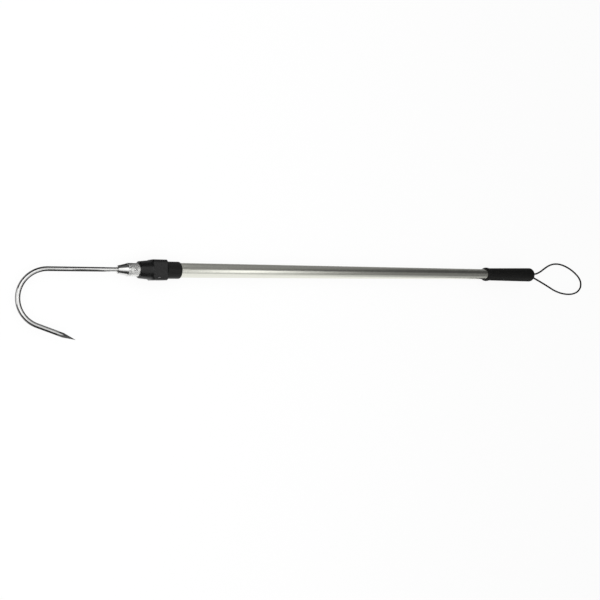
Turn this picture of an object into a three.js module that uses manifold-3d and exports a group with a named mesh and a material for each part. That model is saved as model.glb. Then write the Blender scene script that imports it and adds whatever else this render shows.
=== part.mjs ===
// Telescopic fishing gaff, collapsed: a bent hook in a coned ferrule on an inner tube, which slides in an
// outer tube and is held there by a twist lock. The outer tube has a tapered rubber grip at its butt, and
// a wrist lanyard is knotted inside the closed end of the grip.
//
// Lengths are in millimetres. The pole lies along +X with its butt face at the origin, the hook bends
// towards +Y, and +Z is up. Each piece is drawn standing on the butt, so its profile's height is its
// station, the distance from the butt face, and the whole group is then laid down.

import * as THREE from "three";
import { mergeVertices } from "three/addons/utils/BufferGeometryUtils.js";
import Module from "manifold-3d";

const wasm = await Module();
wasm.setup();

// Clearances that every fit uses
const clearance = 0.3; // between pieces that touch, nest or are glued
const running = 0.15; // radial play where one piece slides or turns in another
const overrun = 4; // how far a cutting shape runs past what it cuts

// Facet counts
const tubeSides = 48;
const innerSides = 32;
const wireSides = 16;
const screwSides = 20;
const cordSides = 8;
const arcSteps = 3;
const cornerSteps = 4;
const hookSteps = 54;
const cordSteps = 80;

// Outer tube
const outerTube = { radius: 11, wall: 1, length: 907.2 };
outerTube.bore = outerTube.radius - outerTube.wall;

// Grip: a rubber sleeve with a closed butt and a rolled lip at its mouth
const grip = {
  length: 165.5,
  endWall: 4.5,
  buttWall: 4.35,
  neckWall: 2.15,
  lipWall: 3.5,
  lipSlope: 8.5,
  lipNose: 5.5,
  mouthWall: 0.8,
  buttRound: 1.6,
};
grip.buttRadius = outerTube.radius + grip.buttWall;
grip.neckRadius = outerTube.radius + grip.neckWall;
grip.lipRadius = outerTube.radius + grip.lipWall;
grip.mouthRadius = outerTube.radius + grip.mouthWall;
outerTube.start = grip.endWall + clearance;
outerTube.end = outerTube.start + outerTube.length;

// Inner tube: the play is its gap all round in the outer tube, and the stub is what stands out of the lock
// when the gaff is collapsed
const innerTube = { play: 0.5, wall: 1, stub: 14.2 };
innerTube.radius = outerTube.bore - innerTube.play;
innerTube.bore = innerTube.radius - innerTube.wall;

// Collar body of the twist lock, fixed on the outer tube's front end
const collar = {
  sleeveWall: 1.7,
  sleeveLength: 23.1,
  tubeSeat: 19.3,
  spigotWall: 1.25,
  spigotLength: 20,
  rearRound: 1.6,
  shoulderBevel: 0.4,
  spigotBevel: 0.5,
  grooveDepth: 0.6,
};
collar.radius = outerTube.radius + collar.sleeveWall;
collar.bore = innerTube.radius + running;
collar.spigotRadius = collar.bore + collar.spigotWall;
collar.rear = outerTube.end - collar.tubeSeat;
collar.shoulder = collar.rear + collar.sleeveLength;
collar.spigotEnd = collar.shoulder + collar.spigotLength;

// Lock nut: a rounded block, flat on four sides, with a long cone in front that stands over its flats
const nut = {
  blockWall: 3.8,
  flatWall: 1.5,
  blockLength: 22.6,
  cornerRound: 4.5,
  blockBevel: 0.8,
  coneWall: 3.3,
  flareLength: 4,
  waistWall: 2.55,
  flareShare: 0.25,
  noseWall: 2.4,
  noseRound: 1.1,
  length: 40.9,
  threadLength: 18.9,
  pitch: 2,
  turns: 1,
};
nut.rear = collar.shoulder + clearance;
nut.front = nut.rear + nut.length;
nut.threadRadius = collar.spigotRadius + clearance;
nut.halfWidth = nut.threadRadius + nut.blockWall;
nut.coneRadius = nut.threadRadius + nut.coneWall;
nut.acrossFlats = (nut.threadRadius + nut.flatWall) * 2;
nut.waistRadius = nut.threadRadius + nut.waistWall;
nut.frontBore = innerTube.radius + clearance;
nut.noseRadius = nut.frontBore + nut.noseWall;
nut.travel = nut.pitch * nut.turns;

// Collet: a split tapered ring between the collar's spigot and the nut's inner cone
const collet = {
  wall: 1.8,
  tipWall: 0.6,
  length: 15,
  landLength: 3,
  slotWidth: 1.2,
  slotCount: 6,
  webLength: 4,
};
collet.bore = innerTube.radius + clearance;
collet.radius = collet.bore + collet.wall;
collet.tipRadius = collet.bore + collet.tipWall;
collet.rear = collar.spigotEnd + clearance;
collet.front = collet.rear + collet.length;

// Grub screw in the nut: its nose runs in the groove of the collar's spigot and keeps the nut on
const nutScrew = {
  radius: 1.5,
  noseRadius: 1,
  noseLength: 1.2,
  fromRear: 14.2,
  angle: THREE.MathUtils.degToRad(42),
  slotWidth: 0.5,
  slotDepth: 0.7,
  length: 5,
};
nutScrew.station = nut.rear + nutScrew.fromRear;
nutScrew.tip = collar.spigotRadius - collar.grooveDepth + clearance;

// End plug: a plastic cup in the butt of the outer tube, which holds the lanyard's knot
const endPlug = { length: 40, disc: 5, wall: 1.4 };
endPlug.radius = outerTube.bore - clearance;
endPlug.front = outerTube.start + endPlug.length;

// Plug in the rear end of the inner tube, grooved for the glide ring
const tubePlug = {
  flangeLength: 6,
  neckLength: 2.6,
  headPlay: 0.8,
  spigotLength: 26,
  spigotWall: 2,
  grooveDepth: 1,
  bevel: 0.6,
};
tubePlug.headRadius = outerTube.bore - tubePlug.headPlay;
tubePlug.grooveRadius = tubePlug.headRadius - tubePlug.grooveDepth;
const glideRing = { length: 8, splitWidth: 1.6, bevel: 0.4 };
glideRing.radius = outerTube.bore - running;
glideRing.bore = tubePlug.grooveRadius + clearance;
tubePlug.rear = endPlug.front + clearance;
tubePlug.grooveStart = tubePlug.rear + tubePlug.flangeLength;
tubePlug.grooveEnd = tubePlug.grooveStart + glideRing.length + clearance + clearance;
tubePlug.headEnd = tubePlug.grooveEnd + tubePlug.neckLength;
tubePlug.spigotRadius = innerTube.bore - clearance;
tubePlug.bore = tubePlug.spigotRadius - tubePlug.spigotWall;
tubePlug.front = tubePlug.headEnd + tubePlug.spigotLength;
const plugRivet = { radius: 1.6, fromHead: 12, sunk: 0.1 };
plugRivet.station = tubePlug.headEnd + plugRivet.fromHead;

innerTube.start = tubePlug.headEnd + clearance;
innerTube.end = nut.front + innerTube.stub;

// Hook: one bent wire with a ground point
const hook = {
  wireRadius: 3.15,
  bendRadius: 38.5,
  bendStation: 1082,
  sweep: THREE.MathUtils.degToRad(157),
  legLength: 54.3,
  pointLength: 18.3,
  pointFacets: 4,
  tailOut: 1.6,
};

// Ferrule: a polished cone whose spigot sits in the inner tube
const ferrule = {
  noseWall: 2.95,
  noseRound: 0.8,
  coneLength: 10.4,
  rimLength: 3,
  spigotLength: 16.5,
  rimBevel: 0.3,
};
ferrule.bore = hook.wireRadius + clearance;
ferrule.noseRadius = ferrule.bore + ferrule.noseWall;
ferrule.rimStart = innerTube.end + clearance;
ferrule.rimEnd = ferrule.rimStart + ferrule.rimLength;
ferrule.front = ferrule.rimEnd + ferrule.coneLength;
ferrule.rear = ferrule.rimStart - ferrule.spigotLength;
ferrule.spigotRadius = innerTube.bore - clearance;
hook.tail = ferrule.rear - hook.tailOut;

// Slotted screw that holds ferrule and hook in the inner tube
const hookScrew = {
  radius: 1.5,
  headRadius: 2.6,
  headHeight: 1.5,
  headRound: 0.7,
  slotWidth: 0.8,
  slotDepth: 0.8,
  fromTubeEnd: 7.1,
  slotAngle: THREE.MathUtils.degToRad(40),
};
hookScrew.station = innerTube.end - hookScrew.fromTubeEnd;

// Lanyard: a free cord loop; its route is station, side and height of each point
const cord = { radius: 1.65, holeSide: 3.5, knotRadius: 6.4, knotFlatShare: 0.8 };
cord.holeRadius = cord.radius + clearance;
cord.start = -clearance;
const lanyardRoute = [
  [cord.start, -cord.holeSide, 0],
  [-8, -3.5, -0.3],
  [-17, -3.4, -2.9],
  [-27, -3.2, -8],
  [-37, -2.9, -12],
  [-48, -3, -13.5],
  [-66, -7.9, -13.68],
  [-83, -15.3, -13.68],
  [-101, -22.4, -13.68],
  [-121.5, -26.9, -13.68],
  [-143.5, -27.6, -13.68],
  [-165, -24.9, -13.68],
  [-185.5, -19.8, -13.68],
  [-204.5, -13.1, -13.68],
  [-222, -4.8, -13.68],
  [-237, 4.8, -13.68],
  [-246.4, 16.8, -13.68],
  [-245.2, 29.4, -13.68],
  [-231.8, 40, -13.68],
  [-210.3, 45.6, -13.68],
  [-187, 46.6, -13.68],
  [-164.5, 44.9, -13.68],
  [-143, 41.2, -13.68],
  [-123, 35.9, -13.68],
  [-105, 29.4, -13.68],
  [-87, 22.9, -13.68],
  [-69, 16.6, -13.68],
  [-52, 11, -13.45],
  [-39, 7.4, -12],
  [-28, 5, -8.5],
  [-17, 3.8, -3],
  [-8, 3.5, -0.3],
  [cord.start, cord.holeSide, 0],
];

// Materials
function finish(colour, roughness, metalness) {
  return new THREE.MeshStandardMaterial({ color: colour, roughness, metalness });
}
const aluminium = finish(0xb9bab8, 0.32, 1);
const polishedSteel = finish(0xd2d3d2, 0.14, 1);
const screwSteel = finish(0xc4c4c2, 0.25, 1);
const lockPlastic = finish(0x26272a, 0.42, 0);
const greyNylon = finish(0xc9c8c0, 0.5, 0);
const rubber = finish(0x151515, 0.85, 0);
const cordNylon = finish(0x0b0b0c, 0.8, 0);

// Solids and geometry
function solidOf(geometry) {
  const bare = geometry.clone();
  bare.deleteAttribute("normal");
  bare.deleteAttribute("uv");
  const merged = mergeVertices(bare);
  const corners = merged.index.array;
  const faces = [];
  for (let i = 0; i < corners.length; i += 3) {
    const [a, b, c] = [corners[i], corners[i + 1], corners[i + 2]];
    if (a !== b && b !== c && c !== a) faces.push(a, b, c);
  }
  const vertProperties = merged.attributes.position.array;
  const triVerts = Uint32Array.from(faces);
  return new wasm.Manifold(new wasm.Mesh({ numProp: 3, vertProperties, triVerts }));
}

function geometryOf(solid) {
  const mesh = solid.getMesh();
  const geometry = new THREE.BufferGeometry();
  geometry.setAttribute("position", new THREE.BufferAttribute(mesh.vertProperties, 3));
  geometry.setIndex(new THREE.BufferAttribute(mesh.triVerts, 1));
  geometry.computeVertexNormals();
  return geometry;
}

function cut(geometry, ...cutters) {
  const solid = cutters.reduce((rest, cutter) => rest.subtract(solidOf(cutter)), solidOf(geometry));
  return geometryOf(solid);
}

function join(geometry, ...others) {
  const solid = others.reduce((whole, other) => whole.add(solidOf(other)), solidOf(geometry));
  return geometryOf(solid);
}

// A ring or a solid of revolution about the pole's axis, from an outline that runs up its outside
function turned(outline, sides = tubeSides) {
  return new THREE.LatheGeometry(outline.getPoints(arcSteps), sides);
}

// A rounded corner of an outline, from a rear face out to its side
function roundRear(outline, radius, rear, round) {
  outline.lineTo(radius - round, rear);
  outline.absarc(radius - round, rear + round, round, -Math.PI / 2, 0, false);
}

// A rounded corner of an outline, from its side in to a front face
function roundFront(outline, radius, front, round) {
  outline.absarc(radius - round, front - round, round, 0, Math.PI / 2, false);
}

// A plain ring between two radii and two stations
function ringOutline(radius, bore, start, end, bevel = 0) {
  const outline = new THREE.Path();
  outline.moveTo(bore, start);
  outline.lineTo(radius - bevel, start);
  if (bevel > 0) outline.lineTo(radius, start + bevel);
  if (bevel > 0) outline.lineTo(radius, end - bevel);
  outline.lineTo(radius - bevel, end);
  outline.lineTo(bore, end);
  outline.lineTo(bore, start);
  return outline;
}

// A round bar between two stations, on a line beside the axis
function bar(radius, start, end, side = 0, sides = screwSides) {
  const geometry = new THREE.CylinderGeometry(radius, radius, end - start, sides);
  return geometry.translate(-side, (start + end) / 2, 0);
}

// A round bar that stands out from the axis at a station, between two distances from the axis
function radialBar(radius, station, from, to, angle = 0, sides = screwSides) {
  const geometry = new THREE.CylinderGeometry(radius, radius, to - from, sides);
  geometry.rotateX(Math.PI / 2);
  geometry.translate(0, station, (from + to) / 2);
  return geometry.rotateY(-angle);
}

// A slot for a screwdriver, cut down from a height over the axis
function screwSlot(width, depth, length, station, top, turn, angle = 0) {
  const geometry = new THREE.BoxGeometry(length, width, depth + overrun);
  geometry.rotateZ(turn);
  geometry.translate(0, station, top - depth + (depth + overrun) / 2);
  return geometry.rotateY(-angle);
}

function gripGeometry() {
  const bore = outerTube.radius + clearance;
  const lipTop = grip.length - grip.lipNose;
  const lipDepth = grip.lipRadius - grip.mouthRadius;
  const outline = new THREE.Path();
  outline.moveTo(0, 0);
  roundRear(outline, grip.buttRadius, 0, grip.buttRound);
  outline.lineTo(grip.neckRadius, lipTop - grip.lipSlope);
  outline.bezierCurveTo(
    grip.neckRadius, lipTop - grip.lipSlope / 2,
    grip.lipRadius, lipTop - grip.lipSlope / 2,
    grip.lipRadius, lipTop,
  );
  outline.absellipse(grip.mouthRadius, lipTop, lipDepth, grip.lipNose, 0, Math.PI / 2, false);
  outline.lineTo(bore, grip.length);
  outline.lineTo(bore, grip.endWall);
  outline.lineTo(0, grip.endWall);
  const holes = [-1, 1].map((hand) =>
    bar(cord.holeRadius, -overrun, grip.endWall + overrun, hand * cord.holeSide),
  );
  return cut(turned(outline), ...holes);
}

function outerTubeGeometry() {
  return turned(ringOutline(outerTube.radius, outerTube.bore, outerTube.start, outerTube.end));
}

function collarGeometry() {
  const sleeveBore = outerTube.radius + clearance;
  const seat = outerTube.end + clearance;
  const groove = collar.spigotRadius - collar.grooveDepth;
  const grooveStart = nutScrew.station - nutScrew.noseRadius - clearance;
  const grooveEnd = nutScrew.station + nutScrew.noseRadius + clearance + nut.travel;
  const outline = new THREE.Path();
  outline.moveTo(sleeveBore, collar.rear);
  roundRear(outline, collar.radius, collar.rear, collar.rearRound);
  outline.lineTo(collar.radius, collar.shoulder - collar.shoulderBevel);
  outline.lineTo(collar.radius - collar.shoulderBevel, collar.shoulder);
  outline.lineTo(collar.spigotRadius, collar.shoulder);
  outline.lineTo(collar.spigotRadius, grooveStart);
  outline.lineTo(groove, grooveStart);
  outline.lineTo(groove, grooveEnd);
  outline.lineTo(collar.spigotRadius, grooveEnd);
  outline.lineTo(collar.spigotRadius, collar.spigotEnd - collar.spigotBevel);
  outline.lineTo(collar.spigotRadius - collar.spigotBevel, collar.spigotEnd);
  outline.lineTo(collar.bore, collar.spigotEnd);
  outline.lineTo(collar.bore, seat);
  outline.lineTo(sleeveBore, seat);
  outline.lineTo(sleeveBore, collar.rear);
  return turned(outline);
}

// The nut's rear block: a box with four rounded long edges and bevelled ends
function nutBlock() {
  const round = nut.cornerRound;
  const side = nut.halfWidth - round;
  const up = nut.acrossFlats / 2 - round;
  const section = new THREE.Shape();
  section.absarc(side, up, round, 0, Math.PI / 2, false);
  section.absarc(-side, up, round, Math.PI / 2, Math.PI, false);
  section.absarc(-side, -up, round, Math.PI, Math.PI * 1.5, false);
  section.absarc(side, -up, round, Math.PI * 1.5, Math.PI * 2, false);
  const bevel = nut.blockBevel;
  const settings = {
    depth: nut.blockLength - bevel * 2,
    bevelSize: bevel,
    bevelThickness: bevel,
    bevelOffset: -bevel,
    bevelSegments: 1,
    curveSegments: cornerSteps,
  };
  const block = new THREE.ExtrudeGeometry(section, settings);
  block.rotateX(-Math.PI / 2);
  return block.translate(0, nut.rear + bevel, 0);
}

function nutGeometry() {
  const blockEnd = nut.rear + nut.blockLength;
  const coneStart = blockEnd - nut.blockBevel;
  const flareEnd = blockEnd + nut.flareLength;
  const flareRadius = nut.waistRadius + (nut.coneRadius - nut.waistRadius) * nut.flareShare;
  const cone = new THREE.Path();
  cone.moveTo(0, coneStart);
  cone.lineTo(nut.coneRadius, coneStart);
  cone.lineTo(nut.coneRadius, blockEnd);
  cone.quadraticCurveTo(flareRadius, blockEnd + nut.flareLength / 2, nut.waistRadius, flareEnd);
  roundFront(cone, nut.noseRadius, nut.front, nut.noseRound);
  cone.lineTo(0, nut.front);
  const seatRadius = collet.radius + clearance;
  const seatTip = collet.tipRadius + clearance;
  const bore = new THREE.Path();
  bore.moveTo(0, nut.rear - overrun);
  bore.lineTo(nut.threadRadius, nut.rear - overrun);
  bore.lineTo(nut.threadRadius, nut.rear + nut.threadLength);
  bore.lineTo(seatRadius, nut.rear + nut.threadLength);
  bore.lineTo(seatRadius, collet.rear + collet.landLength);
  bore.lineTo(seatTip, collet.front + clearance);
  bore.lineTo(nut.frontBore, collet.front + clearance);
  bore.lineTo(nut.frontBore, nut.front + overrun);
  bore.lineTo(0, nut.front + overrun);
  const { station, angle } = nutScrew;
  const holeRadius = nutScrew.radius + clearance;
  const outside = nut.halfWidth + nut.cornerRound;
  const screwHole = radialBar(holeRadius, station, collar.spigotRadius, outside, angle);
  return cut(join(nutBlock(), turned(cone)), turned(bore), screwHole);
}

function nutScrewGeometry() {
  const { station, angle, tip, slotWidth, slotDepth } = nutScrew;
  const top = tip + nutScrew.length;
  const shoulder = tip + nutScrew.noseLength;
  const body = radialBar(nutScrew.radius, station, shoulder, top, angle);
  const nose = radialBar(nutScrew.noseRadius, station, tip, (shoulder + top) / 2, angle);
  const slot = screwSlot(slotWidth, slotDepth, nutScrew.radius * 2 + overrun, station, top, 0, angle);
  return cut(join(body, nose), slot);
}

function colletGeometry() {
  const outline = new THREE.Path();
  outline.moveTo(collet.bore, collet.rear);
  outline.lineTo(collet.radius, collet.rear);
  outline.lineTo(collet.radius, collet.rear + collet.landLength);
  outline.lineTo(collet.tipRadius, collet.front);
  outline.lineTo(collet.bore, collet.front);
  outline.lineTo(collet.bore, collet.rear);
  const reach = collet.radius + overrun;
  const slots = [];
  for (let i = 0; i < collet.slotCount; i += 1) {
    const through = i === 0;
    const start = through ? collet.rear - overrun : collet.rear + collet.webLength;
    const end = collet.front + overrun;
    const slot = new THREE.BoxGeometry(collet.slotWidth, end - start, reach);
    slot.translate(0, (start + end) / 2, reach / 2);
    slots.push(slot.rotateY((i * 2 * Math.PI) / collet.slotCount));
  }
  return cut(turned(outline, innerSides), ...slots);
}

function endPlugGeometry() {
  const disc = outerTube.start + endPlug.disc;
  const cupBore = endPlug.radius - endPlug.wall;
  const outline = new THREE.Path();
  outline.moveTo(0, outerTube.start);
  outline.lineTo(endPlug.radius, outerTube.start);
  outline.lineTo(endPlug.radius, endPlug.front);
  outline.lineTo(cupBore, endPlug.front);
  outline.lineTo(cupBore, disc);
  outline.lineTo(0, disc);
  const holes = [-1, 1].map((hand) =>
    bar(cord.holeRadius, outerTube.start - overrun, disc + overrun, hand * cord.holeSide),
  );
  return cut(turned(outline, innerSides), ...holes);
}

function tubePlugGeometry() {
  const outline = new THREE.Path();
  outline.moveTo(tubePlug.bore, tubePlug.rear);
  outline.lineTo(tubePlug.headRadius - tubePlug.bevel, tubePlug.rear);
  outline.lineTo(tubePlug.headRadius, tubePlug.rear + tubePlug.bevel);
  outline.lineTo(tubePlug.headRadius, tubePlug.grooveStart);
  outline.lineTo(tubePlug.grooveRadius, tubePlug.grooveStart);
  outline.lineTo(tubePlug.grooveRadius, tubePlug.grooveEnd);
  outline.lineTo(tubePlug.headRadius, tubePlug.grooveEnd);
  outline.lineTo(tubePlug.headRadius, tubePlug.headEnd);
  outline.lineTo(tubePlug.spigotRadius, tubePlug.headEnd);
  outline.lineTo(tubePlug.spigotRadius, tubePlug.front - tubePlug.bevel);
  outline.lineTo(tubePlug.spigotRadius - tubePlug.bevel, tubePlug.front);
  outline.lineTo(tubePlug.bore, tubePlug.front);
  outline.lineTo(tubePlug.bore, tubePlug.rear);
  return cut(turned(outline, innerSides), rivetHole());
}

function rivetHole() {
  const reach = innerTube.radius + overrun;
  return radialBar(plugRivet.radius + clearance, plugRivet.station, -reach, reach);
}

function plugRivetGeometry() {
  const reach = innerTube.radius - plugRivet.sunk;
  return radialBar(plugRivet.radius, plugRivet.station, -reach, reach);
}

function glideRingGeometry() {
  const start = tubePlug.grooveStart + clearance;
  const end = start + glideRing.length;
  const reach = glideRing.radius + overrun;
  const split = new THREE.BoxGeometry(glideRing.splitWidth, glideRing.length + overrun, reach);
  split.translate(0, (start + end) / 2, -reach / 2);
  const ring = ringOutline(glideRing.radius, glideRing.bore, start, end, glideRing.bevel);
  return cut(turned(ring, innerSides), split);
}

function innerTubeGeometry() {
  const tube = turned(ringOutline(innerTube.radius, innerTube.bore, innerTube.start, innerTube.end));
  return cut(tube, rivetHole(), hookScrewHole());
}

function ferruleGeometry() {
  const outline = new THREE.Path();
  outline.moveTo(ferrule.bore, ferrule.rear);
  outline.lineTo(ferrule.spigotRadius, ferrule.rear);
  outline.lineTo(ferrule.spigotRadius, ferrule.rimStart);
  outline.lineTo(innerTube.radius - ferrule.rimBevel, ferrule.rimStart);
  outline.lineTo(innerTube.radius, ferrule.rimStart + ferrule.rimBevel);
  outline.lineTo(innerTube.radius, ferrule.rimEnd);
  roundFront(outline, ferrule.noseRadius, ferrule.front, ferrule.noseRound);
  outline.lineTo(ferrule.bore, ferrule.front);
  outline.lineTo(ferrule.bore, ferrule.rear);
  return cut(turned(outline), hookScrewHole());
}

// The hole for the hook's screw, through one side of the inner tube and of the ferrule's spigot
function hookScrewHole() {
  const reach = innerTube.radius + overrun;
  return radialBar(hookScrew.radius + clearance, hookScrew.station, 0, reach);
}

function hookScrewGeometry() {
  const { station, slotWidth, slotDepth, slotAngle } = hookScrew;
  const seat = innerTube.radius + clearance;
  const top = seat + hookScrew.headHeight;
  const outline = new THREE.Path();
  outline.moveTo(0, seat);
  outline.lineTo(hookScrew.headRadius, seat);
  roundFront(outline, hookScrew.headRadius, top, hookScrew.headRound);
  outline.lineTo(0, top);
  const head = turned(outline, screwSides).rotateX(Math.PI / 2).translate(0, station, 0);
  const shank = radialBar(hookScrew.radius, station, ferrule.bore, (seat + top) / 2);
  const slot = screwSlot(slotWidth, slotDepth, hookScrew.headRadius * 2 + overrun, station, top, slotAngle);
  return cut(join(head, shank), slot);
}

// The hook's centre line: straight shank, round bend, straight leg
class HookLine extends THREE.Curve {
  constructor() {
    super();
    this.shank = hook.bendStation - hook.tail;
    this.bend = hook.bendRadius * hook.sweep;
    this.whole = this.shank + this.bend + hook.legLength;
  }

  getPoint(t, target = new THREE.Vector3()) {
    const run = t * this.whole;
    const turn = THREE.MathUtils.clamp((run - this.shank) / hook.bendRadius, 0, hook.sweep);
    const leg = Math.max(run - this.shank - this.bend, 0);
    const station = Math.min(hook.tail + run, hook.bendStation) + hook.bendRadius * Math.sin(turn);
    const side = hook.bendRadius * (1 - Math.cos(turn));
    const along = station + leg * Math.cos(hook.sweep);
    return target.set(-(side + leg * Math.sin(hook.sweep)), turn > 0 ? along : station, 0);
  }
}

function hookGeometry() {
  const line = new HookLine();
  const section = new THREE.Shape();
  section.absarc(0, 0, hook.wireRadius, 0, 2 * Math.PI, false);
  const wire = new THREE.ExtrudeGeometry(section, {
    extrudePath: line, steps: hookSteps, curveSegments: wireSides / 2, bevelEnabled: false,
  });
  const tip = line.getPoint(1);
  const heading = line.getTangent(1);
  const turn = new THREE.Quaternion().setFromUnitVectors(new THREE.Vector3(0, 1, 0), heading);
  const cornerShare = 1 / Math.cos(Math.PI / hook.pointFacets);
  const facetRadius = hook.wireRadius * cornerShare;
  const facetLength = hook.pointLength * cornerShare;
  const stretch = 1 + overrun / facetLength;
  const height = facetLength * stretch;
  const pyramid = new THREE.ConeGeometry(facetRadius * stretch, height, hook.pointFacets);
  pyramid.translate(0, -height / 2, 0);
  const blockHeight = facetLength + overrun;
  const blockSide = (hook.wireRadius + overrun) * 2;
  const block = new THREE.BoxGeometry(blockSide, blockHeight, blockSide);
  block.translate(0, overrun - blockHeight / 2, 0);
  const ground = cut(block, pyramid);
  ground.applyQuaternion(turn).translate(tip.x, tip.y, tip.z);
  return cut(wire, ground);
}

// A point of the lanyard's route, in the frame that the pieces are drawn in
function routePoint([station, side, height]) {
  return new THREE.Vector3(-side, station, height);
}

function lanyardGeometry() {
  const path = new THREE.CatmullRomCurve3(lanyardRoute.map(routePoint), false, "centripetal");
  const section = new THREE.Shape();
  section.absarc(0, 0, cord.radius, 0, 2 * Math.PI, false);
  return new THREE.ExtrudeGeometry(section, {
    extrudePath: path, steps: cordSteps, curveSegments: cordSides / 2, bevelEnabled: false,
  });
}

function lanyardKnotGeometry() {
  const centre = outerTube.start + endPlug.disc + clearance + cord.knotRadius * cord.knotFlatShare;
  const lump = new THREE.SphereGeometry(cord.knotRadius, screwSides, screwSides / 2);
  lump.scale(1, cord.knotFlatShare, 1);
  lump.translate(0, centre, 0);
  const strands = [-1, 1].map((hand) => bar(cord.radius, 0, centre, hand * cord.holeSide, cordSides));
  return join(lump, ...strands);
}

const gaff = new THREE.Group();

function add(name, geometry, material) {
  const mesh = new THREE.Mesh(geometry, material);
  mesh.name = name;
  gaff.add(mesh);
}

add("outer_tube", outerTubeGeometry(), aluminium);
add("grip", gripGeometry(), rubber);
add("end_plug", endPlugGeometry(), greyNylon);
add("collar_body", collarGeometry(), lockPlastic);
add("lock_nut", nutGeometry(), lockPlastic);
add("nut_screw", nutScrewGeometry(), lockPlastic);
add("collet", colletGeometry(), greyNylon);
add("inner_tube", innerTubeGeometry(), aluminium);
add("tube_plug", tubePlugGeometry(), greyNylon);
add("plug_rivet", plugRivetGeometry(), aluminium);
add("glide_ring", glideRingGeometry(), greyNylon);
add("hook_ferrule", ferruleGeometry(), polishedSteel);
add("hook_screw", hookScrewGeometry(), screwSteel);
add("hook", hookGeometry(), polishedSteel);
add("lanyard", lanyardGeometry(), cordNylon);
add("lanyard_knot", lanyardKnotGeometry(), cordNylon);

gaff.rotation.z = -Math.PI / 2;

export default gaff;
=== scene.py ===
"""Looks of a telescopic fishing gaff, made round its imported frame.

Lengths are in metres. The pole lies along +X with its butt face at the origin, the hook bends towards
+Y, and +Z is up. A station is a distance along the pole, from the butt face.
"""

import logging
import math
from collections.abc import Iterable, Mapping, Sequence
from dataclasses import dataclass
from enum import Enum
from functools import cache

import bmesh
import bpy
from mathutils import Matrix, Vector
from mathutils.geometry import interpolate_bezier


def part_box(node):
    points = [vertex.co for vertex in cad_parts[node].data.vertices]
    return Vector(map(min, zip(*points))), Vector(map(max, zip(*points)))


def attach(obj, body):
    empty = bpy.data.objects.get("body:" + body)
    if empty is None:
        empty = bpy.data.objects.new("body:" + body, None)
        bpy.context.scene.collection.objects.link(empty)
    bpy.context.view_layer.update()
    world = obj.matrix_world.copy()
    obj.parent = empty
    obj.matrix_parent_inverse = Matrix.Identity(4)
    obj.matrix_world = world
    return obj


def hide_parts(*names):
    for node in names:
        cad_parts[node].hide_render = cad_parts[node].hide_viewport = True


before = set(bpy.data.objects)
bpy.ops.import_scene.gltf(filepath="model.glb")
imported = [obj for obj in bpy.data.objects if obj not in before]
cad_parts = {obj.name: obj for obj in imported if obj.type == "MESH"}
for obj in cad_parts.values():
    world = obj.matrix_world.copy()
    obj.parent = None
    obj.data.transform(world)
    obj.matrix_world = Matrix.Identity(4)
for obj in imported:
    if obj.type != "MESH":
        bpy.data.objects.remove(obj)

log = logging.getLogger("gaff")

MM = 0.001
TURN = 2 * math.pi
FINE_STEPS = 128
SMALL_STEPS = 48
ROUND_STEPS = 4
CURVE_STEPS = 8
TOUCH = 1e-6
MERGE = TOUCH / 10
EDGE = 0.2 * MM
FINE_EDGE = 0.1 * MM
SHARP = math.radians(40)

Span = tuple[float, float]
Spot = tuple[float, ...]
Triple = tuple[float, float, float]
Colour = tuple[float, float, float]

WHITE = (1.0, 1.0, 1.0, 1.0)


class Body(Enum):
    """The moving bodies of the gaff that pieces ride on."""

    POLE = "pole"
    HOOK_SECTION = "hook_section"
    LOCK_SLEEVE = "lock_sleeve"


class Slot(Enum):
    """The record's material slots."""

    TUBE = "tube_aluminium"
    GRIP = "grip_rubber"
    LOCK = "lock_plastic"
    NUT_SCREW = "screw_black"
    NYLON = "grey_nylon"
    STEEL = "polished_steel"
    SCREW = "screw_steel"
    CORD = "lanyard_cord"


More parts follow.
